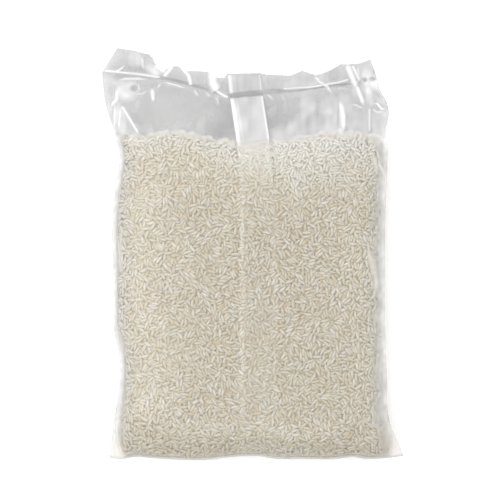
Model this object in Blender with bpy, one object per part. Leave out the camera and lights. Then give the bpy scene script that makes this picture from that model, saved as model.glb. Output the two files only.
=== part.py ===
"""A shut pillow bag of clear film, filled with long-grain white rice.

The bag lies on its back on a flat underside, its lengthwise seam strip on top. +X runs across the bag,
+Y towards its sealed top end and +Z up. The origin is the middle of the bag's box, on its base.
The whole shut bag is one solid: a plump filled body, an empty head, a cross seal and the thin fin
above it. The filled stretch of the top carries bumps of the size of the grains under the film.
"""

import bmesh
import bpy
import numpy as np

MM = 0.001

# Driving dimensions of the bag, in millimetres
BODY_THICKNESS = 38.0
FLAT_FILM = 1.4
BOTTOM_Y = -135.3
RICE_TOP_Y = 76.0
FIN_HEIGHT = 12.0

# Heights of the film's outer edge over the base, and how far a wave in the cross seal moves it
RIM_HEIGHT = 16.0
SEAL_HEIGHT = 12.0
BOTTOM_SEAL_HEIGHT = 13.0
SEAL_WAVE = 1.2
SEAL_WAVE_LENGTH = 107.0
RIM_POWER = 2
SEAL_WAVE_POWER = 4

# Lengths over which the body grows to its full thickness from its bottom end and from its seal
BOTTOM_ROUNDING = 36.0
HEAD_TAPER = 88.0

# Flat ears of film beside the filled body at the bottom corners: share of the half width, and fade
EAR_SHARE = 0.1
EAR_FADE = 12.0

# Powers that set how full the section, the bottom end and the head are
SECTION_POWER = 2.5
BOTTOM_POWER = 2.3
HEAD_POWER = 1.8

# The underside would hang this far below the base, and is flattened where it does
UNDERSIDE_SAG = 7.0
UNDERSIDE_ROUNDING = 3.0

# It rests on a flat rectangle of its own rows and columns, and rises from there at this slope or more
FOOT_LEFT = -54.0
FOOT_RIGHT = 51.0
FOOT_COLUMNS = (4, 12)
FOOT_TOP = 36.0
FOOT_ROWS = (12, 43)
FOOT_SLOPE = 0.05

# The lengthwise seam strip is a smoother band, and bumps of a grain's size cover the rest
SEAM_STRIP_WIDTH = 22.0
SEAM_STRIP_EDGE = 3.0
SEAM_STRIP_RISE = 0.9
BUMP_HEIGHT = 1.3
BUMP_SHARE_ON_STRIP = 0.5
BUMP_FADE = 3.0
BUMP_SEED = 11
# Strip and bumps have their full height where the bag has swollen by this share
RELIEF_SWELL = 0.3

# Side edges of the film seen from above: (y, x) from the bottom corners up to the cross seal
LEFT_EDGE = [
    (-136, -94.2), (-127, -93.4), (-112, -91.4), (-89, -88.2), (-68, -88.0), (-53, -91.2),
    (-15, -92.1), (28, -92.1), (50, -89.4), (62, -88.0), (79, -91.0), (96, -96.7), (119, -99.6),
]  # fmt: skip
RIGHT_EDGE = [
    (-134, 99.8), (-124, 95.6), (-115, 91.6), (-108, 89.9), (-84, 88.8), (-31, 87.6),
    (35, 88.1), (68, 89.3), (81, 88.2), (94, 90.0), (101, 88.0), (107, 84.5), (119, 81.6),
]  # fmt: skip

# Cross seal and free edge of the fin above it: (x, y) from left to right
SEAL_LINE = [
    (-99.5, 119.0), (-91, 117.8), (-58, 115.2), (-35, 109.6), (-18, 104.2), (-5, 105.2),
    (31, 107.9), (48, 110.6), (67, 112.9), (82, 114.4),
]  # fmt: skip
FIN_EDGE = [
    (-98.0, 121.2), (-89.5, 135.7), (-68, 131.0), (-65.5, 125.8), (-61, 121.8), (-49, 123.2),
    (-44.5, 120.1), (-29, 119.3), (-23.5, 115.2), (-17.5, 117.8), (9.5, 117.2), (25, 116.5),
    (33, 119.8), (45, 117.8), (58, 124.4), (71, 125.2), (78, 127.9), (80, 122.5),
]  # fmt: skip
# How far the free edge of the fin lifts over its seal: (x, rise)
FIN_RISE = [(-98, -1.0), (-68, -2.0), (-40, 4.0), (-5, 6.0), (40, 4.0), (80, 1.0)]
# Middle of the lengthwise seam strip: (y, x) from the bottom end to the cross seal
STRIP_MIDDLE = [(-136, 3.0), (-5, 4.0), (40, 3.0), (73, 0.5), (104, -4.3), (119, -6.0)]

# Faces along the bag and across its two sides
BODY_ROWS = 58
FIN_ROWS = 3
TOP_COLUMNS = 64
UNDERSIDE_COLUMNS = 16
# How much the rows crowd towards the bottom end, and the columns towards the side edges
BOTTOM_CROWDING = 0.75
EDGE_CROWDING = 0.5


def smooth_curve(points, at):
    """A smooth curve through the points' second numbers, read at places along their first."""
    knots = np.array(points, float)
    places, values = knots[:, 0], knots[:, 1]
    slopes = np.gradient(values, places)
    at = np.clip(at, places[0], places[-1])
    left = np.clip(np.searchsorted(places, at, side="right") - 1, 0, len(places) - 2)
    gap = places[left + 1] - places[left]
    t = (at - places[left]) / gap
    start = (1 + 2 * t) * (1 - t) ** 2 * values[left] + t * (1 - t) ** 2 * gap * slopes[left]
    end = t**2 * (3 - 2 * t) * values[left + 1] + t**2 * (t - 1) * gap * slopes[left + 1]
    return start + end


def straight_curve(points, at):
    """The same with straight runs between the points, for crisp corners."""
    knots = np.array(points, float)
    return np.interp(at, knots[:, 0], knots[:, 1])


def across(columns):
    """Places from -1 at the left edge to 1 at the right, closer together towards the edges."""
    even = np.linspace(-1, 1, columns + 1)
    return even + EDGE_CROWDING * (np.sin(0.5 * np.pi * even) - even)


def along(rows):
    """Places from 0 at the bottom end to 1 at the cross seal, closer together at the bottom."""
    even = np.linspace(0, 1, rows + 1)
    return even - BOTTOM_CROWDING * even * (1 - even) ** 3


def plan_of(side):
    """X and Y of every grid point of one side of the bag, bottom end first, fin edge last."""
    share = (side + 1) / 2
    seal_x = SEAL_LINE[0][0] + share * (SEAL_LINE[-1][0] - SEAL_LINE[0][0])
    seal_y = smooth_curve(SEAL_LINE, seal_x)
    y = BOTTOM_Y + along(BODY_ROWS)[:, None] * (seal_y - BOTTOM_Y)[None, :]
    left, right = smooth_curve(LEFT_EDGE, y), smooth_curve(RIGHT_EDGE, y)
    x = left + share[None, :] * (right - left)
    edge_x = FIN_EDGE[0][0] + share * (FIN_EDGE[-1][0] - FIN_EDGE[0][0])
    edge_y = straight_curve(FIN_EDGE, edge_x)
    rise = np.arange(1, FIN_ROWS + 1)[:, None] / FIN_ROWS
    fin_x = x[-1] + rise * (edge_x - x[-1])
    fin_y = y[-1] + rise * (edge_y - y[-1])
    return np.vstack([x, fin_x]), np.vstack([y, fin_y]), seal_y


def end_shares(y, seal_y):
    """How far up the bottom rounding and down the head taper each point is, from 0 to 1."""
    from_bottom = np.clip((y - BOTTOM_Y) / BOTTOM_ROUNDING, 0, 1)
    from_seal = np.clip((seal_y[None, :] - y) / HEAD_TAPER, 0, 1)
    return from_bottom, from_seal


def swell(x, y, seal_y):
    """How thick the bag is at each point, from 0 for flat film to 1 for the full body."""
    left, right = smooth_curve(LEFT_EDGE, y), smooth_curve(RIGHT_EDGE, y)
    middle, half = (left + right) / 2, (right - left) / 2
    ears = EAR_SHARE * np.exp(-np.abs(y - BOTTOM_Y) / EAR_FADE)
    side = np.clip(np.abs(x - middle) / (half * (1 - ears)), 0, 1)
    from_bottom, from_seal = end_shares(y, seal_y)
    section = np.sqrt(1 - side**SECTION_POWER)
    bottom = np.sqrt(1 - (1 - from_bottom) ** BOTTOM_POWER)
    head = 1 - (1 - from_seal) ** HEAD_POWER
    return section * bottom * head


def rim_height(x, y, seal_y):
    """Height of the film's side edges and ends over the base."""
    from_bottom, from_seal = end_shares(y, seal_y)
    height = RIM_HEIGHT + (BOTTOM_SEAL_HEIGHT - RIM_HEIGHT) * (1 - from_bottom) ** RIM_POWER
    height += (SEAL_HEIGHT - RIM_HEIGHT) * (1 - from_seal) ** RIM_POWER
    wave = SEAL_WAVE * np.sin(2 * np.pi * x / SEAL_WAVE_LENGTH)
    return height + wave * (1 - from_seal) ** SEAL_WAVE_POWER


def fin_lift(x, y, seal_y):
    """How far a point of the fin stands over its seal, 0 on the body."""
    above = np.clip(y - seal_y[None, :], 0, None)
    return above / FIN_HEIGHT * smooth_curve(FIN_RISE, x)


def strip_cover(x, y):
    """1 on the lengthwise seam strip and 0 beside it, with soft edges."""
    beside = np.abs(x - smooth_curve(STRIP_MIDDLE, y)) - SEAM_STRIP_WIDTH / 2
    return np.clip(0.5 - beside / SEAM_STRIP_EDGE, 0, 1)


def top_side():
    """Grid points of the upper side: domed film over the grains, then the head and the fin."""
    side = across(TOP_COLUMNS)
    x, y, seal_y = plan_of(side)
    full = swell(x, y, seal_y)
    rim = rim_height(x, y, seal_y)
    z = rim + FLAT_FILM / 2 + (BODY_THICKNESS - RIM_HEIGHT) * full + fin_lift(x, y, seal_y)
    strip = strip_cover(x, y) * (y < seal_y[None, :])
    grown = np.clip(full / RELIEF_SWELL, 0, 1)
    z += SEAM_STRIP_RISE * strip * grown
    draw = np.random.default_rng(BUMP_SEED).uniform(-0.5, 0.5, z.shape)
    filled = np.clip((RICE_TOP_Y - y) / BUMP_FADE, 0, 1) * grown
    z += BUMP_HEIGHT * draw * filled * (1 - (1 - BUMP_SHARE_ON_STRIP) * strip)
    return np.stack([x, y, z], axis=2)


def square_foot(side, x, y):
    """The underside's plan with straight rows and columns in its middle, and how far each is off its foot."""
    first, last = FOOT_COLUMNS
    bottom, top = FOOT_ROWS
    up = np.append(along(BODY_ROWS), np.ones(FIN_ROWS))
    past_side = np.clip((np.abs(side) - side[last]) / (1 - side[last]), 0, 1)
    past_top = np.clip((up - up[top]) / (1 - up[top]), 0, 1)
    free = np.maximum(past_side[None, :], past_top[:, None])
    width = (FOOT_RIGHT - FOOT_LEFT) / (side[last] - side[first])
    straight_x = np.broadcast_to((FOOT_LEFT + FOOT_RIGHT) / 2 + side * width, x.shape)
    straight_y = np.broadcast_to((BOTTOM_Y + up * (FOOT_TOP - BOTTOM_Y) / up[top])[:, None], y.shape)
    x, y = straight_x + free * (x - straight_x), straight_y + free * (y - straight_y)
    beside = np.maximum(np.maximum(x[0, first] - x, x - x[0, last]), 0)
    beyond = np.maximum(np.maximum(y[bottom, first] - y, y - y[top, first]), 0)
    return x, y, np.hypot(beside, beyond)


def underside():
    """Grid points of the lower side, which rests on a flat patch and curves up to the rim."""
    side = across(UNDERSIDE_COLUMNS)
    x, y, seal_y = plan_of(side)
    x, y, off_foot = square_foot(side, x, y)
    rim = rim_height(x, y, seal_y)
    hang = rim - (RIM_HEIGHT + UNDERSIDE_SAG) * swell(x, y, seal_y)
    soft = UNDERSIDE_ROUNDING
    rounded = (np.clip(hang, -soft, soft) + soft) ** 2 / (4 * soft)
    rounded = np.maximum(rounded, FOOT_SLOPE * off_foot)
    z = np.where(hang > soft, hang, rounded) + fin_lift(x, y, seal_y)
    edge = np.clip((z - FLAT_FILM) / FLAT_FILM, 0, 1)
    return np.stack([x, y, z - edge * FLAT_FILM / 2], axis=2)


def bridge(mesh, first, second):
    """Triangles between two rows of points that run side by side, of any two counts."""
    i = j = 0
    while i < len(first) - 1 or j < len(second) - 1:
        if (i + 1) * (len(second) - 1) <= (j + 1) * (len(first) - 1):
            mesh.faces.new((first[i], first[i + 1], second[j]))
            i += 1
        else:
            mesh.faces.new((first[i], second[j + 1], second[j]))
            j += 1


def bag_mesh():
    """The closed skin of the bag, from its two sides joined all round their edge."""
    mesh = bmesh.new()
    grids = []
    for points in (top_side(), underside()):
        grid = [[mesh.verts.new(point * MM) for point in row] for row in points]
        for low, high in zip(grid, grid[1:]):
            for k in range(len(low) - 1):
                mesh.faces.new((low[k], low[k + 1], high[k + 1], high[k]))
        grids.append(grid)
    top, under = grids
    for low, high, low_under, high_under in zip(top, top[1:], under, under[1:]):
        mesh.faces.new((low[0], high[0], high_under[0], low_under[0]))
        mesh.faces.new((low[-1], low_under[-1], high_under[-1], high[-1]))
    bridge(mesh, top[0], under[0])
    bridge(mesh, top[-1], under[-1])
    bmesh.ops.recalc_face_normals(mesh, faces=mesh.faces)
    bmesh.ops.triangulate(mesh, faces=mesh.faces, quad_method="SHORT_EDGE")
    return mesh


def centre_on_base(mesh):
    """Moves the bag so that its box stands on the origin."""
    points = np.array([vertex.co[:] for vertex in mesh.verts])
    low, high = points.min(axis=0), points.max(axis=0)
    middle = ((low[0] + high[0]) / 2, (low[1] + high[1]) / 2, low[2])
    bmesh.ops.translate(mesh, verts=mesh.verts, vec=[-value for value in middle])


def filled_film_material():
    """White rice seen through clear film."""
    material = bpy.data.materials.new("rice_under_clear_film")
    material.use_nodes = True
    shader = material.node_tree.nodes["Principled BSDF"]
    shader.inputs["Base Color"].default_value = (0.62, 0.57, 0.46, 1.0)
    shader.inputs["Roughness"].default_value = 0.35
    shader.inputs["Metallic"].default_value = 0.0
    return material


def build_bag():
    """Adds the shut bag of rice to the scene as one object."""
    mesh = bag_mesh()
    centre_on_base(mesh)
    data = bpy.data.meshes.new("rice_bag")
    mesh.to_mesh(data)
    mesh.free()
    data.shade_smooth()
    data.materials.append(filled_film_material())
    bag = bpy.data.objects.new("rice_bag", data)
    bpy.context.scene.collection.objects.link(bag)
    return bag


for leftover in list(bpy.data.objects):
    bpy.data.objects.remove(leftover)
build_bag()
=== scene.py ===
"""A shut pillow bag of clear film filled with long-grain white rice, lying on its back.

The seam strip is up and the sealed fin points along +Y. Sizes are in millimetres until a mesh is made.
The film, its seals and its seam strip are sheets on the solid's own form, and grains of true size are
packed under the film over a grainy core.
"""

import logging
import math
from dataclasses import dataclass, field
from enum import Enum

import bpy
import numpy as np
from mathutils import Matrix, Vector
from mathutils.bvhtree import BVHTree


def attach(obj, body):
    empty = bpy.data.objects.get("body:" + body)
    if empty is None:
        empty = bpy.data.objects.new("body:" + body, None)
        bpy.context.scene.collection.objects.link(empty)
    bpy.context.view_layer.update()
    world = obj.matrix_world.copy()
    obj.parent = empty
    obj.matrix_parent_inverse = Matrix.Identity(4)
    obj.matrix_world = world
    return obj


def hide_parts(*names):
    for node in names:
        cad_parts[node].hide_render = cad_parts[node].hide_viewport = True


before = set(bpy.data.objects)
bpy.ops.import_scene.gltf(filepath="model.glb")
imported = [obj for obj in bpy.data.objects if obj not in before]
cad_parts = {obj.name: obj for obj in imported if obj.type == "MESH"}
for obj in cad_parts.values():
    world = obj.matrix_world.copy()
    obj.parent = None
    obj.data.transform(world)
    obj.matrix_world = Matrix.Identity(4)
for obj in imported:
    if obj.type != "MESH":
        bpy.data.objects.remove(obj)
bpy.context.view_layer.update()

MM = 0.001
LOG = logging.getLogger("rice_bag")
Curve = tuple[tuple[float, float], ...]
Hills = tuple[tuple[float, float, int], ...]
Colour = tuple[float, float, float, float]
Array = np.ndarray
Piece = bpy.types.Object
Socket = bpy.types.NodeSocket
PLAIN_WHITE: Colour = (1.0, 1.0, 1.0, 1.0)
NOISE_SPAN = (0.3, 0.7)
TINY = 1e-6


def smooth_curve(points: Curve, at: Array) -> Array:
    """A smooth curve through points, read at places along their first numbers.

    Args:
        points: Pairs of place and value, places rising.
        at: Places to read.

    Returns:
        The curve's value at each place.
    """
    knots = np.array(points, float)
    places, values = knots[:, 0], knots[:, 1]
    slopes = np.gradient(values, places)
    at = np.clip(at, places[0], places[-1])
    left = np.clip(np.searchsorted(places, at, side="right") - 1, 0, len(places) - 2)
    gap = places[left + 1] - places[left]
    t = (at - places[left]) / gap
    start = (1 + 2 * t) * (1 - t) ** 2 * values[left] + t * (1 - t) ** 2 * gap * slopes[left]
    end = t**2 * (3 - 2 * t) * values[left + 1] + t**2 * (t - 1) * gap * slopes[left + 1]
    return start + end


def straight_curve(points: Curve, at: Array) -> Array:
    """The curve through points with straight runs between them."""
    knots = np.array(points, float)
    return np.interp(at, knots[:, 0], knots[:, 1])


def soft_step(value: Array) -> Array:
    """0 below 0, 1 above 1 and smooth between."""
    value = np.clip(value, 0, 1)
    return value * value * (3 - 2 * value)


def fade(distance: Array, reach: float | Array, power: int = 2) -> Array:
    """1 at no distance, falling smoothly to 0 past the reach."""
    return np.exp(-((distance / reach) ** power))


def lumps(x: Array, y: Array, size: float, seed: int) -> Array:
    """Smooth random hills and hollows.

    Args:
        x: Places across.
        y: Places along.
        size: Distance from one hill to the next.
        seed: Which hills.

    Returns:
        Heights from -1 to 1.
    """
    count = 64
    table = np.random.default_rng(seed).uniform(-1, 1, (count, count))
    u, v = x / size + 0.37 * seed, y / size + 0.73 * seed
    i, j = np.floor(u).astype(int), np.floor(v).astype(int)
    a, b = soft_step(u - i), soft_step(v - j)
    i0, i1, j0, j1 = i % count, (i + 1) % count, j % count, (j + 1) % count
    low = table[i0, j0] * (1 - a) + table[i1, j0] * a
    high = table[i0, j1] * (1 - a) + table[i1, j1] * a
    return low * (1 - b) + high * b


def hills(x: Array, y: Array, layers: Hills) -> Array:
    """Several layers of lumps, one on top of another.

    Args:
        x: Places across.
        y: Places along.
        layers: Each layer's height, the distance between its hills, and which hills.

    Returns:
        The height at each place.
    """
    return sum(height * lumps(x, y, size, seed) for height, size, seed in layers)


@dataclass(frozen=True)
class BagForm:
    """Outer form of the shut bag: its solid's, but for the bottom edge, which waves a little here."""

    body_thickness: float = 38.0
    film: float = 0.25
    fin_height: float = 12.0
    rim_height: float = 16.0
    seal_height: float = 12.0
    bottom_seal_height: float = 13.0
    seal_wave: float = 1.2
    seal_wave_length: float = 107.0
    bottom_rounding: float = 36.0
    head_taper: float = 88.0
    ear_share: float = 0.1
    ear_fade: float = 12.0
    section_power: float = 2.5
    bottom_power: float = 2.3
    head_power: float = 1.8
    underside_sag: float = 7.0
    underside_rounding: float = 3.0
    foot: tuple[float, float, float, float] = (-54.0, 51.0, -105.0, 36.0)
    foot_slope: float = 0.05
    left_edge: Curve = (
        (-136, -94.2), (-127, -93.4), (-112, -91.4), (-89, -88.2), (-68, -88.0), (-53, -91.2),
        (-15, -92.1), (28, -92.1), (50, -89.4), (62, -88.0), (79, -91.0), (96, -96.7), (119, -99.6),
    )
    right_edge: Curve = (
        (-134, 99.8), (-124, 95.6), (-115, 91.6), (-108, 89.9), (-84, 88.8), (-31, 87.6),
        (35, 88.1), (68, 89.3), (81, 88.2), (94, 90.0), (101, 88.0), (107, 84.5), (119, 81.6),
    )
    bottom_line: Curve = (
        (-94, -135.8), (-87.5, -136.6), (-77, -135.1), (-66, -136.0), (-56, -136.6), (-37, -137.3),
        (-24, -136.5), (-13.5, -135.2), (-3, -134.6), (5, -134.8), (13, -136.2), (34, -136.6),
        (55, -136.5), (66, -135.3), (76, -136.5), (87, -136.0), (99.8, -134.6),
    )
    seal_line: Curve = (
        (-99.5, 119.0), (-91, 117.8), (-58, 115.2), (-35, 109.6), (-18, 104.2), (-5, 105.2),
        (31, 107.9), (48, 110.6), (67, 112.9), (82, 114.4),
    )
    fin_edge: Curve = (
        (-98.0, 121.2), (-89.5, 135.4), (-79, 133.8), (-68.3, 131.0), (-65.7, 128.4),
        (-65.2, 125.7), (-61, 121.8), (-57.8, 120.8), (-53.8, 123.1), (-49.2, 123.4),
        (-45.2, 120.1), (-34.7, 119.8), (-29.4, 119.1), (-23.4, 115.4), (-17.9, 115.2),
        (-17.2, 117.8), (4.3, 118.2), (9.6, 117.2), (24.8, 116.5), (32.7, 119.8), (41.3, 117.2),
        (45.2, 117.8), (51.8, 120.5), (58.1, 124.4), (63, 124.4), (71, 125.1), (78.2, 127.8),
        (79.9, 122.4), (81, 119.5),
    )
    fin_rise: Curve = ((-98, -1.0), (-68, -2.0), (-40, 4.0), (-5, 6.0), (40, 4.0), (80, 1.0))
    strip_middle: Curve = ((-136, 3.0), (-5, 4.0), (40, 3.0), (73, 0.5), (104, -4.3), (119, -6.0))
    strip_width: float = 22.0
    strip_edge: float = 3.0
    strip_rise: float = 0.9
    rice_line: Curve = (
        (-92, 75.6), (-88, 76.2), (-70, 77.6), (-49, 79.5), (-28, 75.6), (-13.5, 72.5), (12, 74.2),
        (29, 76.2), (64, 80.2), (87, 75.6),
    )

    def plan(self, side: Array, up: Array) -> tuple[Array, Array]:
        """Where a point of a sheet lies, seen from above.

        Args:
            side: -1 at the left edge to 1 at the right edge.
            up: 0 at the bottom end, 1 at the cross seal and 2 at the fin's free edge.

        Returns:
            X and Y of each point.
        """
        share = (side + 1) / 2
        seal_y = smooth_curve(self.seal_line, self._between(self.seal_line, share))
        bottom_y = self.bottom(self._between(self.bottom_line, share))
        y = bottom_y + np.clip(up, 0, 1) * (seal_y - bottom_y)
        left, right = self.edges(y)
        x = left + share * (right - left)
        edge_x = self._between(self.fin_edge, share)
        edge_y = straight_curve(self.fin_edge, edge_x)
        fin = np.clip(up - 1, 0, 1)
        return x + fin * (edge_x - x), y + fin * (edge_y - y)

    @staticmethod
    def _between(line: Curve, share: Array) -> Array:
        """X at a share of the way from a line's first point to its last."""
        return line[0][0] + share * (line[-1][0] - line[0][0])

    def edges(self, y: Array) -> tuple[Array, Array]:
        """X of the left and of the right edge at each y."""
        return smooth_curve(self.left_edge, y), smooth_curve(self.right_edge, y)

    def bottom(self, x: Array) -> Array:
        """Y of the bottom edge at each x."""
        return smooth_curve(self.bottom_line, x)

    def seal_y(self, x: Array) -> Array:
        """Y of the cross seal at each x."""
        return smooth_curve(self.seal_line, x)

    def shares(self, x: Array, y: Array) -> tuple[Array, Array]:
        """How far up the bottom rounding and down the head taper each point is.

        Args:
            x: Places across.
            y: Places along.

        Returns:
            Both shares, from 0 to 1.
        """
        from_bottom = np.clip((y - self.bottom(x)) / self.bottom_rounding, 0, 1)
        from_seal = np.clip((self.seal_y(x) - y) / self.head_taper, 0, 1)
        return from_bottom, from_seal

    def swell(self, x: Array, y: Array) -> Array:
        """How thick the bag is at each point.

        Args:
            x: Places across.
            y: Places along.

        Returns:
            0 for flat film to 1 for the full body.
        """
        left, right = self.edges(y)
        middle, half = (left + right) / 2, (right - left) / 2
        ears = self.ear_share * np.exp(-np.abs(y - self.bottom(x)) / self.ear_fade)
        side = np.clip(np.abs(x - middle) / (half * (1 - ears)), 0, 1)
        from_bottom, from_seal = self.shares(x, y)
        section = np.sqrt(1 - side**self.section_power)
        bottom = np.sqrt(1 - (1 - from_bottom) ** self.bottom_power)
        return section * bottom * (1 - (1 - from_seal) ** self.head_power)

    def rim(self, x: Array, y: Array) -> Array:
        """Height of the film's outer edge over the floor.

        Args:
            x: Places across.
            y: Places along.

        Returns:
            The height, with the fin's lift above the seal.
        """
        from_bottom, from_seal = self.shares(x, y)
        height = self.rim_height + (self.bottom_seal_height - self.rim_height) * (1 - from_bottom) ** 2
        height = height + (self.seal_height - self.rim_height) * (1 - from_seal) ** 2
        wave = self.seal_wave * np.sin(2 * np.pi * x / self.seal_wave_length)
        above = np.clip(y - self.seal_y(x), 0, None) / self.fin_height
        return height + wave * (1 - from_seal) ** 4 + above * smooth_curve(self.fin_rise, x)

    def top(self, x: Array, y: Array) -> Array:
        """Height of the upper sheet before its wrinkles."""
        rise = (self.body_thickness - self.rim_height) * self.swell(x, y)
        return self.rim(x, y) + self.film / 2 + rise

    def strip(self, x: Array, y: Array) -> Array:
        """1 under the seam strip and 0 beside it."""
        beside = np.abs(x - smooth_curve(self.strip_middle, y)) - self.strip_width / 2
        return np.clip(0.5 - beside / self.strip_edge, 0, 1)

    def off_side(self, x: Array, y: Array) -> Array:
        """Distance in from the nearer side edge, seen from above."""
        left, right = self.edges(y)
        return np.clip(np.minimum(x - left, right - x), 0, None)

    def off_rim(self, x: Array, y: Array) -> Array:
        """Distance in from the side edges and the bottom end, seen from above."""
        return np.minimum(self.off_side(x, y), np.clip(y - self.bottom(x), 0, None))

    def under(self, x: Array, y: Array) -> Array:
        """Height of the lower sheet, flat where it rests.

        Args:
            x: Places across.
            y: Places along.

        Returns:
            The height at each place.
        """
        rim = self.rim(x, y)
        hang = rim - (self.rim_height + self.underside_sag) * self.swell(x, y)
        soft = self.underside_rounding
        rounded = (np.clip(hang, -soft, soft) + soft) ** 2 / (4 * soft)
        left, right, bottom, top = self.foot
        beside = np.maximum(np.maximum(left - x, x - right), 0)
        beyond = np.maximum(np.maximum(bottom - y, y - top), 0)
        low = np.where(hang > soft, hang, np.maximum(rounded, self.foot_slope * np.hypot(beside, beyond)))
        return low - self.film / 2 * np.clip((low - self.film) / self.film, 0, 1)


@dataclass(frozen=True)
class Crease:
    """A fold or wrinkle in the film: a run of points, how wide, how high and how white its painted highlight
    is.
    """

    path: Curve
    width: float
    rise: float
    white: float
    end_fade: float = 0.35

    def cover(self, x: Array, y: Array) -> Array:
        """How much of the crease is at each point.

        Args:
            x: Places across.
            y: Places along.

        Returns:
            1 on its middle, falling to 0 beside it and at its ends.
        """
        points = np.array(self.path, float)
        steps = points[1:] - points[:-1]
        lengths = np.linalg.norm(steps, axis=1)
        best = np.full(np.shape(x), np.inf)
        place = np.zeros(np.shape(x))
        done = 0.0
        for start, step, length in zip(points, steps, lengths):
            t = ((x - start[0]) * step[0] + (y - start[1]) * step[1]) / length**2
            t = np.clip(t, 0, 1)
            apart = np.hypot(x - start[0] - t * step[0], y - start[1] - t * step[1])
            nearer = apart < best
            best = np.where(nearer, apart, best)
            place = np.where(nearer, (done + t * length) / lengths.sum(), place)
            done += length
        ends = soft_step(np.minimum(place, 1 - place) / self.end_fade)
        return fade(best, self.width * (0.35 + 0.65 * ends)) * np.sqrt(ends)


@dataclass(frozen=True)
class SoftPatch:
    """A soft patch: its middle, its half width and half height, its turn and its strength."""

    middle: tuple[float, float]
    reach: tuple[float, float]
    turn: float
    strength: float

    def cover(self, x: Array, y: Array) -> Array:
        """How much of the patch is at each point.

        Args:
            x: Places across.
            y: Places along.

        Returns:
            The patch's strength in its middle, falling to 0 round it.
        """
        c, s = math.cos(math.radians(self.turn)), math.sin(math.radians(self.turn))
        dx, dy = x - self.middle[0], y - self.middle[1]
        along, beside = (dx * c + dy * s) / self.reach[0], (dy * c - dx * s) / self.reach[1]
        return self.strength * np.exp(-((along**2 + beside**2) ** 1.5))


# Painted highlights on the crumpled film of the head and the fin, and down the right side.
HIGHLIGHT_PATCHES = (
    SoftPatch((-82, 106.4), (9.5, 7.5), 0, 0.85),
    SoftPatch((-86, 112), (11, 2.6), -3, 0.5),
    SoftPatch((-69, 109), (7, 5), 0, 0.4),
    SoftPatch((-87.2, 88), (4.6, 13), 8, 0.7),
    SoftPatch((-78, 128.5), (6, 7), 0, 0.55),
    SoftPatch((-66, 121), (8, 3.6), -30, 0.85),
    SoftPatch((75.5, 116), (4.6, 9.5), 0, 0.85),
    SoftPatch((77, 104), (4.2, 10), 0, 0.9),
    SoftPatch((49, 92), (7, 17), 10, 0.6),
    SoftPatch((68, 86), (9, 9), 0, 0.7),
    SoftPatch((84.5, 97.5), (3, 2.5), 0, 0.5),
    SoftPatch((-40, 84), (18, 6), 0, 0.1),
    SoftPatch((0.5, 69), (8, 4), 0, 0.3),
)
# Painted shade in the folds of the crumpled head and fin.
SHADE_PATCHES = (
    SoftPatch((-86.5, 133), (4.6, 2.4), -8, 0.9),
    SoftPatch((-89.5, 121.9), (8.5, 2.0), -5, 0.75),
    SoftPatch((-70.5, 129.6), (2.3, 3.2), 0, 0.9),
    SoftPatch((-90.5, 116.4), (9, 2.1), -6, 0.8),
    SoftPatch((-93.5, 107), (2.4, 5.5), 0, 0.6),
    SoftPatch((-78.3, 108.4), (2.5, 2.3), 20, 0.95),
    SoftPatch((-65.5, 110.6), (2.2, 1.4), 20, 0.5),
    SoftPatch((-50, 121), (3.6, 2.6), 0, 0.5),
    SoftPatch((-36, 116.3), (5.6, 3.4), -12, 0.5),
    SoftPatch((-20.6, 111.6), (2.6, 3.6), 0, 0.7),
    SoftPatch((-33, 95.5), (5.5, 1.1), 50, 0.35),
    SoftPatch((-16, 90), (6, 3), 10, 0.15),
    SoftPatch((59.6, 122.8), (3.2, 1.5), 4, 0.5),
    SoftPatch((33, 115), (8, 3.6), 0, 0.35),
    SoftPatch((54, 118), (7, 4.2), 12, 0.4),
    SoftPatch((67.8, 112.5), (0.9, 1.7), 25, 0.95),
    SoftPatch((70.4, 112.9), (0.8, 1.6), 25, 0.95),
    SoftPatch((74.3, 114.3), (1.7, 1.5), 0, 0.95),
    SoftPatch((79.6, 114.9), (2.3, 1.4), 10, 0.95),
    SoftPatch((81.2, 119.6), (1.5, 3.4), 20, 0.7),
    SoftPatch((83.2, 104.4), (2.0, 3.6), 35, 0.5),
    SoftPatch((82.6, 95.4), (3.0, 1.1), -25, 0.75),
    SoftPatch((84, 86), (4.2, 6), 0, 0.3),
    SoftPatch((56.3, 90), (0.8, 8.5), -4, 0.5),
)
# Patches where the grains are painted pale, in place of glare on the film over them.
PALE_PATCHES = (
    SoftPatch((0.5, 66), (9, 12), 0, 0.7),
    SoftPatch((40, 62), (26, 12), 0, 0.6),
    SoftPatch((30, 48), (7, 16), 0, 0.55),
    SoftPatch((50, 52), (16, 12), 0, 0.4),
)

# Folds of the head; each one's white paints a highlight along it.
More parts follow.
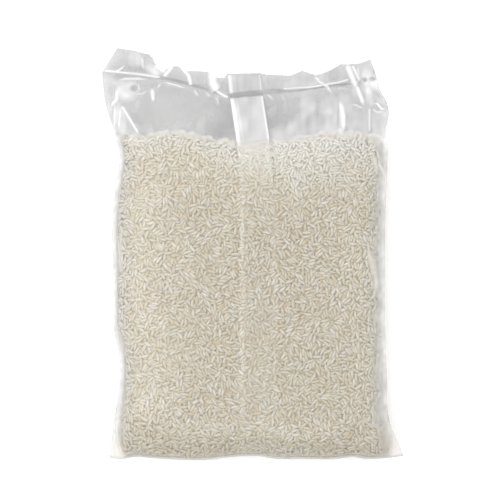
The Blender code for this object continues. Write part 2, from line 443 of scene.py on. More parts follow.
HEAD_CREASES = (
    Crease(((56.9, 103), (58.6, 96), (59.6, 90), (59.7, 77)), 2.1, 0.6, 1.0, 0.3),
    Crease(((39.3, 118.5), (44.6, 112.5), (48.5, 110.6), (53.8, 104)), 1.1, 0.5, 0.9, 0.3),
    Crease(((62.1, 124.5), (68.2, 110.9), (69, 109)), 2.0, 0.6, 0.95, 0.15),
    Crease(((67.4, 113), (69.2, 109.4), (71.6, 103), (74.2, 95.4)), 1.7, 0.6, 0.95, 0.3),
    Crease(((65.9, 123.8), (71.2, 113.4)), 1.2, 0.5, 0.85, 0.1),
    Crease(((69.6, 124), (70.8, 115.5)), 0.8, 0.4, 0.7),
    Crease(((63.9, 98.4), (69, 97), (74.4, 94.2)), 0.9, 0.4, 0.75),
    Crease(((77.2, 96), (76.9, 79)), 1.0, 0.4, 0.75, 0.1),
    Crease(((53, 108.9), (60, 108.7), (68, 108.2)), 0.8, 0.3, 0.45),
    Crease(((79, 98.6), (82.5, 98.2), (85.6, 94.6), (89, 95.6)), 1.1, 0.5, 0.95),
    Crease(((78, 95.2), (82, 92.6), (88.4, 92.8)), 0.9, 0.5, 0.8),
    Crease(((-89.4, 111), (-89.6, 101), (-95.0, 94.6)), 1.5, 0.7, 0.9),
    Crease(((-92.1, 113), (-84, 114.8), (-74.9, 114.9), (-66, 113.6)), 1.3, 0.6, 0.75),
    Crease(((-82, 108.6), (-77.5, 104.6), (-73, 104.6), (-67, 108.4)), 1.0, 0.4, 0.6),
    Crease(((-75.4, 113), (-74.6, 105.5)), 0.8, 0.4, 0.7),
    Crease(((-87, 98), (-83.5, 92.1), (-79, 84.8), (-74.2, 77)), 1.1, 0.5, 0.85, 0.15),
    Crease(((-90.5, 100), (-91, 88.8), (-91.2, 78)), 1.2, 0.6, 0.8),
    Crease(((-86.1, 99), (-87.8, 87.5), (-88.3, 78)), 1.2, 0.6, 0.8),
    Crease(((-66.4, 110), (-65.4, 98)), 1.5, 0.5, 0.9),
    Crease(((-60.2, 113), (-63, 107.6)), 0.8, 0.4, 0.7),
    Crease(((-39.2, 109), (-35.4, 102.4)), 0.8, 0.5, 0.85),
    Crease(((-31.5, 106.5), (-27.8, 102.8)), 1.0, 0.4, 0.6),
    Crease(((-26, 104.5), (-23.4, 101), (-21.5, 96.6)), 0.8, 0.4, 0.65),
    Crease(((-23.0, 106), (-23.0, 97)), 0.8, 0.4, 0.7),
    Crease(((9, 105), (14, 101)), 1.0, 0.4, 0.65),
    Crease(((18, 105.6), (22.4, 99)), 0.8, 0.4, 0.5),
    Crease(((28.6, 104), (28.9, 88)), 1.2, 0.2, 0.18),
    Crease(((-60.8, 112.8), (-50, 110.6), (-42, 107.9)), 0.7, 0.4, 0.85),
    Crease(((-98.8, 120.4), (-87.5, 119.1), (-74.2, 117.8), (-60.4, 115.8)), 0.8, 0.4, 0.95, 0.06),
    Crease(((-92.7, 118.9), (-88, 120.8), (-83.5, 124.4)), 0.9, 0.5, 0.8),
    Crease(((-58.6, 116.2), (-52.6, 123.6)), 1.3, 0.6, 0.95, 0.1),
    Crease(((-46.8, 122.4), (-42.4, 117), (-40.6, 110.4)), 1.3, 0.6, 1.0, 0.08),
    Crease(((-26.8, 119), (-26.4, 112), (-23.6, 106.4)), 3.3, 0.9, 1.0, 0.12),
    Crease(((-24.5, 107.4), (-20, 104.4), (-15.5, 102.4)), 1.0, 0.6, 1.0, 0.15),
    Crease(((-76.6, 133), (-75.2, 121)), 3.4, 0.6, 0.5),
    Crease(((-73.4, 131), (-72, 120)), 1.2, 0.5, 0.7),
    Crease(((-66, 124.6), (-56, 118.8)), 2.2, 0.6, 0.9),
    Crease(((18.8, 107.9), (28, 108.7), (36.6, 109.2), (47.9, 110.9)), 0.65, 0.3, 0.95, 0.1),
    Crease(((48, 111.2), (56, 112.4), (64.2, 114.6)), 0.65, 0.3, 0.95, 0.1),
)

# Folds down the sides of the body; each one's white paints a highlight along it.
BODY_CREASES = (
    Crease(((82.4, 62.6), (83.8, 57.1), (86.4, 52.6), (87.6, 46)), 1.1, 0.8, 0.9),
    Crease(((79, 66), (81, 58), (82.6, 50)), 1.3, 0.5, 0.5),
    Crease(((74.2, 8.2), (78.9, -6.3), (82, -20), (80, -33)), 2.6, 0.9, 0.55),
    Crease(((84, 4), (85, -14), (82, -30)), 1.8, 0.8, 0.6),
    Crease(((83, 25), (85, 12), (84, 0)), 1.4, 0.6, 0.5),
    Crease(((-90, 74), (-87.5, 62), (-88.5, 48)), 1.6, 0.7, 0.6),
    Crease(((-86, 20), (-87.5, 0), (-86, -20)), 1.6, 0.5, 0.4),
    Crease(((-87, -48), (-85.4, -68), (-86, -88)), 1.6, 0.6, 0.45),
    Crease(((84, -60), (85.4, -84), (86, -104)), 1.6, 0.6, 0.45),
    Crease(((88, -108), (92, -122), (97, -133)), 1.6, 0.4, 0.3),
    Crease(((-88, -108), (-89.6, -122), (-92, -133)), 1.4, 0.4, 0.2),
)


def mesh_object(name: str, points: Array, *faces: Array, smooth: bool = True) -> Piece:
    """A mesh object from arrays.

    Args:
        name: The piece's name.
        points: Places in millimetres, one row each.
        faces: Tables of corner numbers, one row to a face, each table with one count of corners.
        smooth: Whether it is shaded smooth.

    Returns:
        The object, linked to the scene.
    """
    mesh = bpy.data.meshes.new(name)
    corners = np.concatenate([table.ravel() for table in faces])
    counts = np.concatenate([np.full(len(table), table.shape[1]) for table in faces])
    mesh.vertices.add(len(points))
    mesh.vertices.foreach_set("co", (points * MM).astype(np.float32).ravel())
    mesh.loops.add(len(corners))
    mesh.loops.foreach_set("vertex_index", corners.astype(np.int32))
    mesh.polygons.add(len(counts))
    mesh.polygons.foreach_set("loop_start", (np.cumsum(counts) - counts).astype(np.int32))
    mesh.polygons.foreach_set("use_smooth", np.full(len(counts), smooth))
    mesh.update(calc_edges=True)
    mesh.validate()
    piece = bpy.data.objects.new(name, mesh)
    bpy.context.scene.collection.objects.link(piece)
    return piece


def add_mask(piece: Piece, name: str, values: Array) -> None:
    """Stores one number for each point of a mesh under a name that its material reads."""
    mask = piece.data.attributes.new(name, "FLOAT", "POINT")
    mask.data.foreach_set("value", values.astype(np.float32).ravel())


def grid_faces(rows: int, columns: int, first: int = 0, flip: bool = False) -> Array:
    """Corner numbers of a grid of squares.

    Args:
        rows: Points along.
        columns: Points across.
        first: Number of the grid's first point.
        flip: Whether the squares face the other way.

    Returns:
        One row of four corners for each square.
    """
    low = (np.arange(rows - 1)[:, None] * columns + np.arange(columns - 1)[None, :]).ravel() + first
    faces = np.stack([low, low + 1, low + columns + 1, low + columns], axis=1)
    return faces[:, ::-1] if flip else faces


class Nodes:
    """Short calls that add shader nodes to a tree and link them."""

    def __init__(self, tree: bpy.types.NodeTree) -> None:
        """Keeps the tree."""
        self.tree = tree

    def add(self, kind: str, **settings: object) -> bpy.types.Node:
        """Adds a node.

        Args:
            kind: Its type.
            **settings: Its settings.

        Returns:
            The node.
        """
        node = self.tree.nodes.new(kind)
        for name, value in settings.items():
            setattr(node, name, value)
        return node

    def feed(self, socket: Socket, value: object) -> None:
        """Links a socket to another, or sets its value.

        Args:
            socket: The input to feed.
            value: Another node's output, a number or a colour.
        """
        if isinstance(value, Socket):
            self.tree.links.new(value, socket)
        else:
            socket.default_value = value

    def chain(self, node: bpy.types.Node, **given: object) -> Socket:
        """Feeds a node's inputs.

        Args:
            node: The node.
            **given: What feeds each input, by the input's name.

        Returns:
            The node's first output.
        """
        for name, value in given.items():
            self.feed(node.inputs[name], value)
        return node.outputs[0]

    def mask(self, name: str) -> Socket:
        """The number that a mesh stores under a name."""
        return self.add("ShaderNodeAttribute", attribute_name=name).outputs["Fac"]

    def noise(self, scale: float, detail: float) -> Socket:
        """Noise over the object's own space, from 0 to 1."""
        where = self.add("ShaderNodeTexCoord").outputs["Object"]
        return self.chain(self.add("ShaderNodeTexNoise"), Vector=where, Scale=scale, Detail=detail)

    def math(self, operation: str, first: object, second: object, clamp: bool = False) -> Socket:
        """One step of arithmetic.

        Args:
            operation: Which.
            first: Its first value.
            second: Its second value.
            clamp: Whether the result is held from 0 to 1.

        Returns:
            The result.
        """
        node = self.add("ShaderNodeMath", operation=operation, use_clamp=clamp)
        self.feed(node.inputs[0], first)
        self.feed(node.inputs[1], second)
        return node.outputs[0]

    def range(self, value: object, source: tuple, target: tuple) -> Socket:
        """A value moved from one range to another, and held inside it.

        Args:
            value: The value.
            source: The two ends that it moves between.
            target: What they become.

        Returns:
            The moved value.
        """
        node = self.add("ShaderNodeMapRange", clamp=True)
        for socket, given in zip(node.inputs, (value, *source, *target)):
            self.feed(socket, given)
        return node.outputs[0]

    def mix(self, share: object, first: object, second: object) -> Socket:
        """Two colours mixed.

        Args:
            share: Share of the second, from 0 to 1.
            first: One colour.
            second: The other.

        Returns:
            The mixed colour.
        """
        node = self.add("ShaderNodeMix", data_type="RGBA", blend_type="MIX")
        for number, value in ((0, share), (6, first), (7, second)):
            self.feed(node.inputs[number], value)
        return node.outputs[2]


def new_group(name: str, inputs: dict[str, object], outputs: dict[str, str]) -> tuple[Nodes, dict, dict]:
    """A new shader node group with named sockets.

    Args:
        name: The group's name.
        inputs: Each input's name and default: a number, or four numbers for a colour.
        outputs: Each output's name and socket kind.

    Returns:
        The group's nodes, its input sockets as seen inside and its output sockets.
    """
    tree = bpy.data.node_groups.new(name, "ShaderNodeTree")
    for label, default in inputs.items():
        kind = "NodeSocketColor" if isinstance(default, tuple) else "NodeSocketFloat"
        tree.interface.new_socket(label, in_out="INPUT", socket_type=kind).default_value = default
    for label, kind in outputs.items():
        tree.interface.new_socket(label, in_out="OUTPUT", socket_type=kind)
    nodes = Nodes(tree)
    given = nodes.add("NodeGroupInput").outputs
    made = nodes.add("NodeGroupOutput").inputs
    return nodes, {label: given[label] for label in inputs}, {label: made[label] for label in outputs}


def film_haze_and_glare_group() -> bpy.types.NodeTree:
    """The look of clear film: how solid, how grey and how rough it is from place to place, white where
    highlights and reflections are painted and haze lies, grey where shade is painted.

    Returns:
        The shader node group, made on the first call.
    """
    name = "film_haze"
    if name in bpy.data.node_groups:
        return bpy.data.node_groups[name]
    masks = ("White Mask", "Grey Mask", "Near Mask")
    alphas = ("Clear Alpha", "Near Alpha", "White Alpha", "Grey Alpha")
    wanted = dict.fromkeys(masks + alphas + ("Cloud Amount", "Metallic"), 0.0)
    wanted |= dict.fromkeys(("Clear Colour", "Near Colour", "White Colour", "Grey Colour"), PLAIN_WHITE)
    values = dict.fromkeys(("Alpha", "Metallic", "Roughness", "Height"), "NodeSocketFloat")
    nodes, given, made = new_group(name, wanted, {"Base Color": "NodeSocketColor"} | values)
    cloud = nodes.noise(scale=38.0, detail=4.0)
    fine = nodes.noise(scale=420.0, detail=3.0)
    swing = nodes.math("MULTIPLY", nodes.range(cloud, NOISE_SPAN, (-1.0, 1.0)), given["Cloud Amount"])
    alpha = nodes.range(given["Near Mask"], (0.0, 1.0), (given["Clear Alpha"], given["Near Alpha"]))
    alpha = nodes.math("ADD", alpha, swing, clamp=True)
    alpha = nodes.range(given["Grey Mask"], (0.0, 1.0), (alpha, given["Grey Alpha"]))
    alpha = nodes.range(given["White Mask"], (0.0, 1.0), (alpha, given["White Alpha"]))
    colour = nodes.mix(given["Near Mask"], given["Clear Colour"], given["Near Colour"])
    colour = nodes.mix(given["Grey Mask"], colour, given["Grey Colour"])
    colour = nodes.mix(given["White Mask"], colour, given["White Colour"])
    coarse_relief, fine_relief = nodes.math("MULTIPLY", cloud, 0.6), nodes.math("MULTIPLY", fine, 0.25)
    nodes.feed(made["Base Color"], colour)
    nodes.feed(made["Alpha"], alpha)
    nodes.feed(made["Metallic"], nodes.range(given["White Mask"], (0.0, 0.5), (given["Metallic"], 0.0)))
    nodes.feed(made["Roughness"], nodes.range(cloud, NOISE_SPAN, (0.3, 0.42)))
    nodes.feed(made["Height"], nodes.math("ADD", coarse_relief, fine_relief))
    return nodes.tree


def grain_flesh_group() -> bpy.types.NodeTree:
    """The flesh of a milled grain: glassy or chalky, with faint streaks along it, and painted pale with the
    chalk colour where its mask paints light.

    Returns:
        The shader node group, made on the first call.
    """
    name = "grain_flesh"
    if name in bpy.data.node_groups:
        return bpy.data.node_groups[name]
    wanted = {"Shade Mask": 0.0, "Belly Mask": 0.0}
    wanted |= dict.fromkeys(("Dark Colour", "Light Colour", "Chalk Colour"), PLAIN_WHITE)
    values = dict.fromkeys(("Roughness", "Height"), "NodeSocketFloat")
    nodes, given, made = new_group(name, wanted, {"Base Color": "NodeSocketColor"} | values)
    streak = nodes.noise(scale=900.0, detail=2.0)
    streak_shade = nodes.range(streak, NOISE_SPAN, (-0.12, 0.12))
    shade = nodes.math("ADD", given["Shade Mask"], streak_shade, clamp=True)
    body = nodes.mix(shade, given["Dark Colour"], given["Light Colour"])
    # Chalk colour for the chalky belly and for the painted paleness in the same mask.
    nodes.feed(made["Base Color"], nodes.mix(given["Belly Mask"], body, given["Chalk Colour"]))
    nodes.feed(made["Roughness"], nodes.range(streak, NOISE_SPAN, (0.38, 0.5)))
    nodes.feed(made["Height"], streak)
    return nodes.tree


@dataclass(frozen=True)
class Finish:
    """A finish that feeds its own numbers and the mesh's masks to a shader node group."""

    name: str

    def wire(self, group: bpy.types.NodeTree, masks: str, bump: float, depth: float) -> bpy.types.Material:
        """Makes a material whose shader takes the group's outputs.

        Args:
            group: The group. Its inputs are named for this finish's fields or for masks.
            masks: How the names of the masks begin.
            bump: Strength of the fine relief.
            depth: Depth of the fine relief, in millimetres.

        Returns:
            The material.
        """
        material = bpy.data.materials.new(self.name)
        material.use_nodes = True
        nodes = Nodes(material.node_tree)
        shader = material.node_tree.nodes["Principled BSDF"]
        source = nodes.add("ShaderNodeGroup", node_tree=group)
        for socket in source.inputs:
            word = socket.name.lower().replace(" ", "_")
            if word.endswith("_mask"):
                nodes.feed(socket, nodes.mask(masks + word.removesuffix("_mask")))
            else:
                nodes.feed(socket, getattr(self, word))
        relief = nodes.add("ShaderNodeBump")
        relief.inputs["Strength"].default_value = bump
        relief.inputs["Distance"].default_value = depth * MM
        nodes.feed(shader.inputs["Normal"], relief.outputs["Normal"])
        for socket in source.outputs:
            target = relief if socket.name == "Height" else shader
            nodes.feed(target.inputs[socket.name], socket)
        return material


@dataclass(frozen=True)
class FilmFinish(Finish):
    """Clear glossy film, cloudier or clearer by its own numbers."""

    clear_alpha: float = 0.27
    near_alpha: float = 0.29
    grey_alpha: float = 0.52
    white_alpha: float = 0.9
    cloud_amount: float = 0.03
    metallic: float = 0.15
    clear_colour: Colour = (0.27, 0.27, 0.275, 1)
    near_colour: Colour = (0.65, 0.615, 0.535, 1)
    # Grey paints shade along the bottom edge and in folds and greys the seal and fin; white paints highlights
    # and reflections and hazes the film.
    grey_colour: Colour = (0.19, 0.19, 0.19, 1)
    white_colour: Colour = (0.97, 0.97, 0.97, 1)

    def build(self) -> bpy.types.Material:
        """The film's material."""
        return self.wire(film_haze_and_glare_group(), "film_", bump=0.25, depth=0.6)


@dataclass(frozen=True)
class GrainFinish(Finish):
    """Milled white rice, from glassy to chalky."""

    dark_colour: Colour = (0.635, 0.548, 0.398, 1)
    light_colour: Colour = (0.705, 0.657, 0.56, 1)
    # Also the colour of the painted paleness of grains.
    chalk_colour: Colour = (0.865, 0.855, 0.825, 1)
    glow: float = 0.9
    glow_radius: tuple[float, float, float] = (1.0, 0.92, 0.8)
    glow_depth: float = 2.5

    def build(self) -> bpy.types.Material:
        """Makes the grains' material, which light enters a little.

        Returns:
            The material.
        """
        material = self.wire(grain_flesh_group(), "grain_", bump=0.15, depth=0.1)
        shader = material.node_tree.nodes["Principled BSDF"]
        shader.inputs["Subsurface Weight"].default_value = self.glow
        shader.inputs["Subsurface Radius"].default_value = self.glow_radius
        shader.inputs["Subsurface Scale"].default_value = self.glow_depth * MM
        return material


@dataclass(frozen=True)
class FilmLook:
    """Where the film is white with haze and painted highlights and reflections, where it is grey with painted
    shade, seal and fin, and where it lies over the rice.
    """

    form: BagForm
    rice_edge: float = 2.0
    # Painted reflection of the side lights in the margins, where the film turns down.
    margin_glare: float = 0.36
    margin_white_over_rice: float = 0.44
    margin_reaches: tuple[float, float] = (3.2, 6.5)
    corner_reach: float = 5.0
    corner_height: float = 25.0
    # Whiter film over the rice just below its top line.
    top_white_depths: Curve = ((-92, 5), (-20, 5), (10, 6), (60, 8), (88, 8))
    top_white_strengths: Curve = ((-92, 0.32), (-20, 0.34), (10, 0.45), (60, 0.5), (88, 0.45))
    top_white_power: float = 1.35
    head_white: float = 0.06
    head_white_right: float = 0.26
    # Painted shade along the bottom edge.
    bottom_grey: float = 0.6
    left_grey: float = 0.15
    fin_grey: float = 0.38
    lower_white: float = 0.25
    lower_grey: float = 0.15
    seal_widths: Curve = (
        (-99, 1.2), (-60, 1.1), (-35, 1.3), (-20, 1.0), (-12, 1.8), (8, 1.8), (16, 1.6), (26, 0.8), (82, 0.8),
    )
    seal_offsets: Curve = (
        (-99, 0), (-30, 0), (-12, -0.6), (2, -0.6), (12, 0.3), (20, 0), (26, -0.7), (82, -0.9),
    )
    seal_darkness: Curve = (
        (-99, 0.5), (-70, 0.3), (-60, 0.8), (-35, 0.9), (-12, 0.5), (8, 0.5), (26, 1.0), (62, 1.0),
        (67, 0.2), (82, 0),
    )

    def over_rice(self, x: Array, y: Array) -> Array:
        """Where the film lies over the rice.

        Args:
            x: Places across.
            y: Places along.

        Returns:
            1 over the rice and 0 above its ragged top line.
        """
        rice = smooth_curve(self.form.rice_line, x)
        ragged = 1.3 * (lumps(x, 0.3 * y, 4.6, 33) + lumps(x, 0.5 * y, 2.2, 34))
        return soft_step((rice + ragged - y + 1.2) / self.rice_edge)

    def haze_and_glare(self, x: Array, y: Array, near: Array) -> Array:
        """White of the plain film, part haze and part painted reflection: in the margins, along the rice's
        top line and in the head.

        Args:
            x: Places across.
            y: Places along.
            near: 1 over the rice.

        Returns:
            How white each place is.
        """
        slanting = lumps(x + 0.4 * y, 0.45 * y - 0.2 * x, 2.6, 36)
        flecks = 0.55 * slanting + 0.45 * lumps(0.45 * x, y - 0.5 * x, 2.6, 37)
        corner = np.exp(-((y - self.form.bottom(x)) / self.corner_height))
        reach = np.where(x < 0, *self.margin_reaches) + self.corner_reach * corner
        margin = fade(self.form.off_side(x, y), reach) * (1 - 0.45 * near * corner)
        white = (self.margin_glare + self.margin_white_over_rice * near) * margin * (1 + 0.3 * flecks)
        above_rice = y - smooth_curve(self.form.rice_line, x)
        below = np.clip(-above_rice / smooth_curve(self.top_white_depths, x), 0, 1)
        top_white = smooth_curve(self.top_white_strengths, x) * near * (1 - below) ** self.top_white_power
        white = (white + top_white * (1 + 0.45 * flecks)) * (0.88 + 0.3 * lumps(x, y, 9, 12))
        return white + (1 - near) * self.head_haze_and_glare(x, y, np.clip(above_rice, 0, None))

    def head_haze_and_glare(self, x: Array, y: Array, above_rice: Array) -> Array:
        """White of the empty head, part haze and part painted reflection: streaks, a band over the rice and
        more to the right.

        Args:
            x: Places across.
            y: Places along.
            above_rice: Distance above the rice's top line.

        Returns:
            How white each place is.
        """
        streaks = lumps(0.7 * (x + y), 1.68 * (y - x), 13, 16) + 0.6 * lumps(1.6 * x, 0.5 * y, 5, 17)
        head_whitening = 0.2 * streaks + 0.08 * lumps(x, y, 7, 38) + 0.18 * fade(above_rice, 9)
        return self.head_white + head_whitening + self.head_white_right * soft_step((x - 5) / 30)

    def shade(self, x: Array, y: Array, near: Array) -> Array:
        """Grey of the plain film: painted shade along the bottom edge, grey down the left edge and on the
        fin.

        Args:
            x: Places across.
            y: Places along.
            near: 1 over the rice.

        Returns:
            How grey each place is.
        """
        up = y - self.form.bottom(x)
        # Painted shade: a dark line along the bottom edge and a broad band above it.
        line = self.bottom_grey + 0.3 * lumps(x, np.zeros_like(x), 11, 35)
        grey = line * fade(up, 1.0) + 0.22 * fade(up, 5.5)
        left = np.where(x < 0, self.left_grey, 0.0) * fade(self.form.off_side(x, y), 2.5)
        fin = self.fin_grey + 0.1 * soft_step(x / 50) + 0.16 * lumps(x, y, 8, 15)
        return np.maximum(grey + left * near, soft_step((y - self.form.seal_y(x) + 1) / 2) * fin)

    def seal(self, x: Array, y: Array) -> Array:
        """How dark the cross seal makes each place.

        Args:
            x: Places across.
            y: Places along.

        Returns:
            0 away from the seal, up to 1 on it.
        """
        off = y - self.form.seal_y(x) - straight_curve(self.seal_offsets, x)
        dark = straight_curve(self.seal_darkness, x) * (0.9 + 0.1 * lumps(x, y, 6, 9))
        return dark * fade(off, straight_curve(self.seal_widths, x), 4)

    def masks(self, x: Array, y: Array, upper: bool) -> dict[str, Array]:
        """How the film looks from place to place.

        Args:
            x: Places across.
            y: Places along.
            upper: Whether it is the upper sheet, which alone has single patches of painted highlight and
                shade and folds.

        Returns:
            Masks from 0 to 1: white for painted highlights in folds and for haze and painted reflection, grey
                for painted shade, the seal and the fin, and near over the rice.
        """
        near = self.over_rice(x, y)
        up = y - self.form.bottom(x)
        white = self.haze_and_glare(x, y, near) * (1 - 0.8 * fade(up, 2.0))
        grey = self.shade(x, y, near)
        near = near * (1 - 0.5 * fade(self.form.off_side(x, y), 5.0) * soft_step((up - 8) / 30))
        folds = HEAD_CREASES + BODY_CREASES if upper else ()
        if upper:
            # Painted highlights on the crumpled film.
            for cloud in HIGHLIGHT_PATCHES:
                white = np.maximum(white, cloud.cover(x, y) * (0.8 + 0.3 * lumps(x, y, 5, 13)))
            # Painted shade in its folds, which takes out the white.
            for cloud in SHADE_PATCHES:
                covered = cloud.cover(x, y)
                white, grey = white * (1 - covered), np.maximum(grey, 0.75 * covered)
        else:
            white, grey = white * self.lower_white, grey * self.lower_grey
        seal = self.seal(x, y)
        white, grey = white * (1 - 0.8 * seal), np.maximum(grey, seal)
        # Each crease paints a highlight along itself.
        for crease in folds:
            white = np.maximum(white, crease.white * crease.cover(x, y))
        return {"film_white": np.clip(white, 0, 1), "film_grey": np.clip(grey, 0, 1), "film_near": near}


@dataclass
class FilmBag:
    """The tube of film: an upper and a lower sheet, joined at the rim and sealed along the fin."""

    form: BagForm
    columns: int = 250
    under_columns: int = 100
    body_rows: int = 150
    head_rows: int = 76
    fin_rows: int = 20
    head_start: float = 0.84
    join_start: float = 0.97
    rim_share: float = 0.03
    groove_width: float = 1.0
    groove_depth: float = 0.8
    rice_lift: float = 0.25
    head_hills: Hills = ((0.5, 30, 1), (0.28, 13, 2), (0.1, 6, 3))
    grain_hills: Hills = ((0.16, 4.2, 4), (0.08, 2.4, 5))
    rice_hills: Hills = ((0.22, 17, 6),)
    slack_hills: Hills = ((0.4, 26, 7), (0.2, 11, 8))

    def ups(self) -> Array:
        """Rows of the sheets, coarse over the rice and fine in the head and the fin.

        Returns:
            How far up each row is: 0 at the bottom end, 1 at the cross seal, 2 at the free edge.
        """
        even = np.linspace(0, 1, self.body_rows, endpoint=False)
        body = self.head_start * (even - 0.75 * even * (1 - even) ** 3)
        head = np.linspace(self.head_start, 1, self.head_rows, endpoint=False)
        return np.concatenate([body, head, 1 + np.linspace(0, 1, self.fin_rows + 1)])

    def sides(self, columns: int) -> Array:
        """Columns of a sheet, closer together towards its edges."""
        even = np.linspace(-1, 1, columns)
        return 0.65 * even + 0.35 * np.sin(0.5 * np.pi * even)

    def relief(self, x: Array, y: Array) -> Array:
        """Height of the upper sheet's wrinkles over its plain form.

        Args:
            x: Places across.
            y: Places along.

        Returns:
            The height at each place.
        """
        seal = self.form.seal_y(x)
        head = soft_step((y - smooth_curve(self.form.rice_line, x) + 4) / 8)
        full = np.clip(self.form.swell(x, y) / 0.3, 0, 1)
        grainy = self.rice_lift + hills(x, y, self.grain_hills) + hills(x, y, self.rice_hills)
        z = head * hills(x, y, self.head_hills) + (1 - head) * full * grainy
        for crease in HEAD_CREASES + BODY_CREASES:
            z = z + crease.rise * crease.cover(x, y)
        strip = self.form.strip_rise * self.form.strip(x, y) * full * (y < seal)
        return z * (1 - self.groove_depth * fade(y - seal, self.groove_width)) + strip

    def build(self) -> Piece:
        """Makes the closed film with its masks.

        Returns:
            The piece.
        """
        form, ups = self.form, self.ups()[:, None]
        x, y = form.plan(self.sides(self.columns)[None, :], ups)
        z = form.top(x, y) + self.relief(x, y) * self.edge_fade(self.columns)
        low_x, low_y = form.plan(self.sides(self.under_columns)[None, :], ups)
        plain, inside = form.top(low_x, low_y), self.edge_fade(self.under_columns)
        slack = hills(low_x, low_y, self.slack_hills)
        low_z = form.under(low_x, low_y) + soft_step((low_y - 70) / 12) * inside * slack
        low_z = np.minimum(low_z, plain - form.film)
        joined = np.clip((ups - self.join_start) / (1 - self.join_start), 0, 1)
        fin_z = plain + self.relief(low_x, low_y) * inside - form.film
        low_z = low_z * (1 - joined) + joined * fin_z
        sheets = [np.stack(sheet, axis=2).reshape(-1, 3) for sheet in ((x, y, z), (low_x, low_y, low_z))]
        piece = mesh_object("film_bag", np.concatenate(sheets), *self.faces(len(ups)))
        look = FilmLook(form)
        upper, lower = look.masks(x, y, True), look.masks(low_x, low_y, False)
        for name in upper:
            add_mask(piece, name, np.concatenate([upper[name].ravel(), lower[name].ravel()]))
        return piece

    def edge_fade(self, columns: int) -> Array:
        """0 on the rim and 1 a little inside it."""
        return soft_step((1 - np.abs(self.sides(columns)))[None, :] / self.rim_share)

    def faces(self, rows: int) -> list[Array]:
        """Corner numbers of the film's faces.

        Args:
            rows: Points along each sheet.

        Returns:
            One table for both sheets and the rim, and one for the two ends.
        """
        across, below = self.columns, self.under_columns
        first = rows * across
        top = grid_faces(rows, across)
        under = grid_faces(rows, below, first, flip=True)
        row = np.arange(rows - 1)
        corners = [row * across, (row + 1) * across, first + (row + 1) * below, first + row * below]
        left = np.stack(corners, axis=1)
        right = left + np.array([across - 1, across - 1, below - 1, below - 1])
        bottom = self.end_faces(0, first)
        fin = self.end_faces((rows - 1) * across, first + (rows - 1) * below)[:, ::-1]
        return [np.concatenate([top, under, left, right[:, ::-1]]), np.concatenate([bottom, fin])]

    def end_faces(self, top: int, under: int) -> Array:
        """Triangles that close one end, between rows of two different counts.

        Args:
            top: Number of the upper row's first point.
            under: Number of the lower row's first point.

        Returns:
            One row of three corners for each triangle.
        """
        places = np.arange(self.columns)
        partner = under + np.round(places * (self.under_columns - 1) / (self.columns - 1)).astype(int)
        here, after = partner[:-1], partner[1:]
        near, far = top + places[:-1], top + places[1:]
        step = here != after
        whole = np.stack([far, near, after], axis=1)
        return np.concatenate([whole, np.stack([near[step], here[step], after[step]], axis=1)])


def closed_sheet(name: str, upper: Array, lower: Array, masks: dict[str, Array | float]) -> Piece:
    """A thin closed sheet from two grids of points of one size.

    Args:
        name: The piece's name.
        upper: Rows of points of its upper face.
        lower: The same for its lower face.
        masks: What each face stores for its material.

    Returns:
        The piece.
    """
    rows, columns = upper.shape[:2]
    first = rows * columns
    row, column = np.arange(rows - 1) * columns, np.arange(columns - 1)
    left = np.stack([row, row + columns, row + columns + first, row + first], axis=1)
    near = np.stack([column + 1, column, column + first, column + 1 + first], axis=1)
    faces = [
        grid_faces(rows, columns), grid_faces(rows, columns, first, flip=True),
        left, (left + columns - 1)[:, ::-1], near, (near + first - columns)[:, ::-1],
    ]
    points = np.concatenate([upper.reshape(-1, 3), lower.reshape(-1, 3)])
    piece = mesh_object(name, points, np.concatenate(faces))
    for label, mask in masks.items():
        add_mask(piece, label, np.tile(np.broadcast_to(mask, (rows, columns)).ravel(), 2))
    return piece


@dataclass
class SeamStrip:
    """The lengthwise seam: a folded strip of film that lies on the upper sheet from end to end."""

    form: BagForm
    bag: FilmBag
    columns: int = 30
    rows: int = 330
    foot_gap: float = 1.2
    end: float = 117.0
    clearance: float = 0.35
    thickness: float = 0.12
    edge_rise: float = 0.25
    head_white: float = 0.68
    edge_white: float = 0.55
    edge_white_over_rice: float = 0.1
    fin_clearing: float = 0.12

    def build(self) -> Piece:
        """Makes the strip with its masks.

        Returns:
            The piece.
        """
        across = np.linspace(-1, 1, self.columns)[None, :]
        share = np.linspace(0, 1, self.rows)[:, None]
        off_middle = across * self.form.strip_width / 2
        start = self.form.bottom(self.form.strip_middle[0][1] + off_middle) + self.foot_gap
        y = start + share * (self.end - start)
        wander = 0.35 * lumps(np.full_like(y, 3.0), y, 16, 41)
        x = smooth_curve(self.form.strip_middle, y) + off_middle + wander
        z = self.form.top(x, y) + self.bag.relief(x, y) + self.clearance
        z = z + self.edge_rise * fade(1 - np.abs(across), 0.08)
        upper = np.stack([x, y, z + self.thickness], axis=2)
        return closed_sheet("seam_strip", upper, np.stack([x, y, z], axis=2), self.masks(x, y, across))

    def masks(self, x: Array, y: Array, across: Array) -> dict[str, Array]:
        """How the strip looks from place to place.

        Args:
            x: Places across the bag.
            y: Places along it.
            across: Places across the strip, from -1 to 1.

        Returns:
            Masks like those of the film.
        """
        above_rice = y - smooth_curve(self.form.rice_line, x)
        above_seal = y - self.form.seal_y(x)
        # The strip's folded edges are painted white as highlights.
        folds = 0.85 * fade(across + 0.88, 0.13) + 0.75 * fade(across - 0.95, 0.05)
        folds = folds + 0.22 * fade(across + 0.6, 0.07)
        head = soft_step((above_rice + 4) / 6)
        faint = 0.12 * soft_step((y - 35) / 40) + 0.01
        white = folds * (self.edge_white * head + self.edge_white_over_rice * (1 - head))
        white = white + self.head_white * head + faint * (1 - head)
        white = white * (0.95 + 0.12 * lumps(3 * x, y, 9, 42)) - self.fin_clearing * soft_step(above_seal / 2)
        seal = fade(above_seal + 0.5, 1.9, 4)
        white = np.clip(white, 0, 1) * (1 - 0.75 * seal)
        return {"film_white": white, "film_grey": 0.12 * seal, "film_near": soft_step((2 - above_rice) / 5)}


